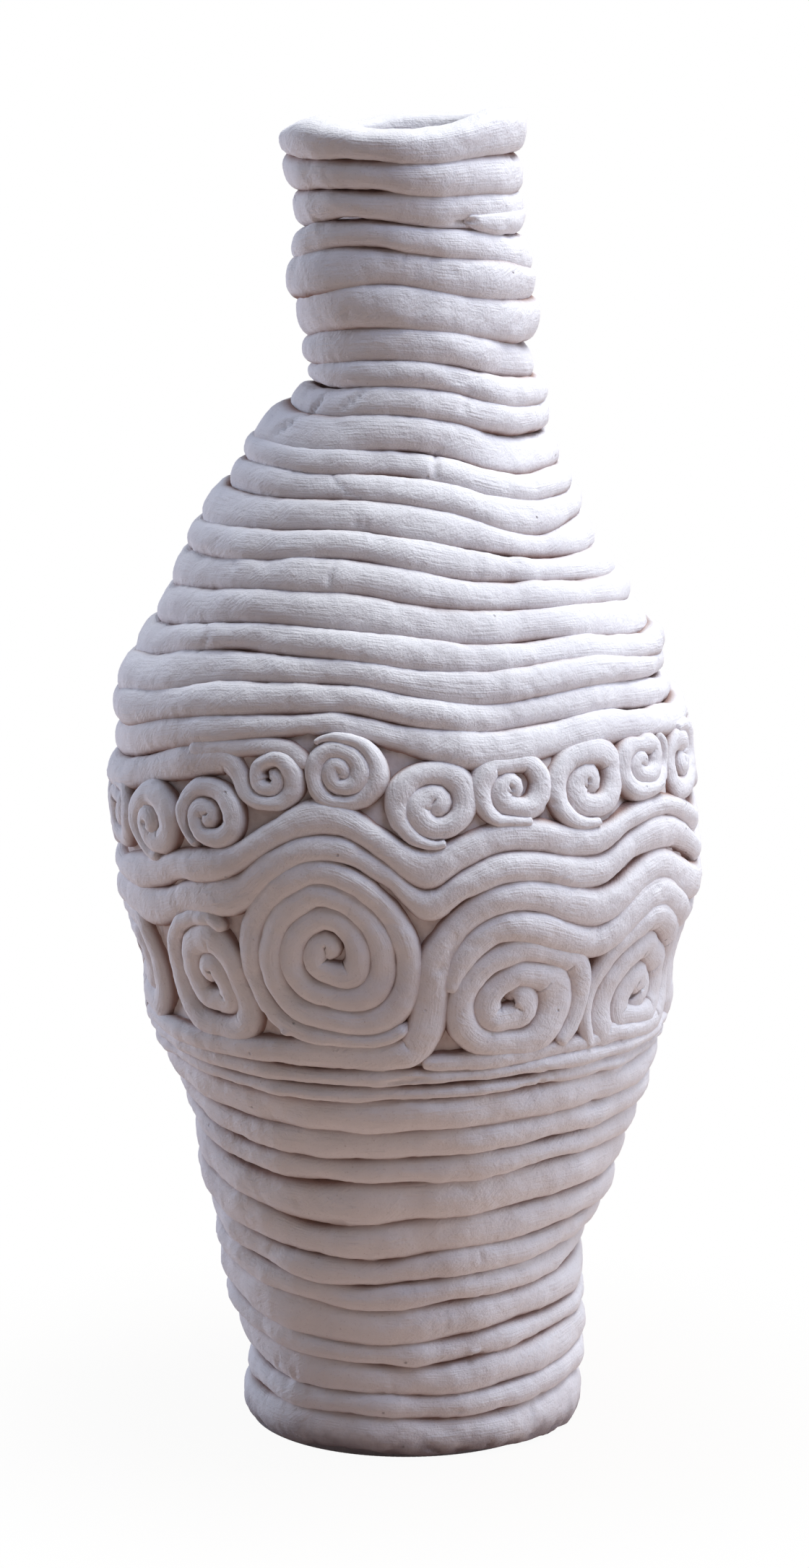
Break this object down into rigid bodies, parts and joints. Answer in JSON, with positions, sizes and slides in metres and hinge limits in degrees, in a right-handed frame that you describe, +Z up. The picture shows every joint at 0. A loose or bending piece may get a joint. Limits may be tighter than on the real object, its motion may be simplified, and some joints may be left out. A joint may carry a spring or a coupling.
{
  "type": "vase",
  "caption": "Tall coil-built clay vase with a narrow neck, rope-wound walls and a band of spirals and waves",
  "frame": {"origin": "centre of the underside of the flat base slab", "axes": "+Z up along the axis of the vase, -Y towards the pictured side, +X to the right in the picture"},
  "size_m": [0.2234, 0.2232, 0.4971],
  "materials": {
    "clay": "matte"
  },
  "bodies": {
    "root": {"base_slab": "clay", "lower_wall_1": "clay", "lower_wall_2": "clay", "lower_wall_3": "clay", "lower_wall_4": "clay", "lower_wall_5": "clay", "band_backing": "clay", "rosette_1": "clay", "rosette_2": "clay", "rosette_3": "clay", "rosette_4": "clay", "rosette_5": "clay", "rosette_6": "clay", "rosette_7": "clay", "rosette_8": "clay", "rosette_9": "clay", "arch_rope_outer": "clay", "arch_rope_inner": "clay", "wave_rope_lower": "clay", "wave_rope_upper": "clay", "curled_course": "clay", "scroll_01": "clay", "scroll_02": "clay", "scroll_03": "clay", "scroll_04": "clay", "scroll_05": "clay", "scroll_06": "clay", "scroll_07": "clay", "scroll_08": "clay", "scroll_09": "clay", "scroll_10": "clay", "scroll_11": "clay", "scroll_12": "clay", "scroll_13": "clay", "scroll_14": "clay", "scroll_15": "clay", "scroll_16": "clay", "scroll_17": "clay", "scroll_18": "clay", "scroll_19": "clay", "shoulder_course_01": "clay", "shoulder_course_02": "clay", "shoulder_course_03": "clay", "shoulder_course_04": "clay", "shoulder_course_05": "clay", "shoulder_course_06": "clay", "shoulder_course_07": "clay", "shoulder_course_08": "clay", "shoulder_course_09": "clay", "shoulder_course_10": "clay", "shoulder_course_11": "clay", "shoulder_course_12": "clay", "shoulder_course_13": "clay", "neck_course_1": "clay", "neck_course_2": "clay", "neck_course_3": "clay", "neck_course_4": "clay", "neck_course_5": "clay", "neck_course_6": "clay", "rim_course": "clay"}
  },
  "joints": []
}
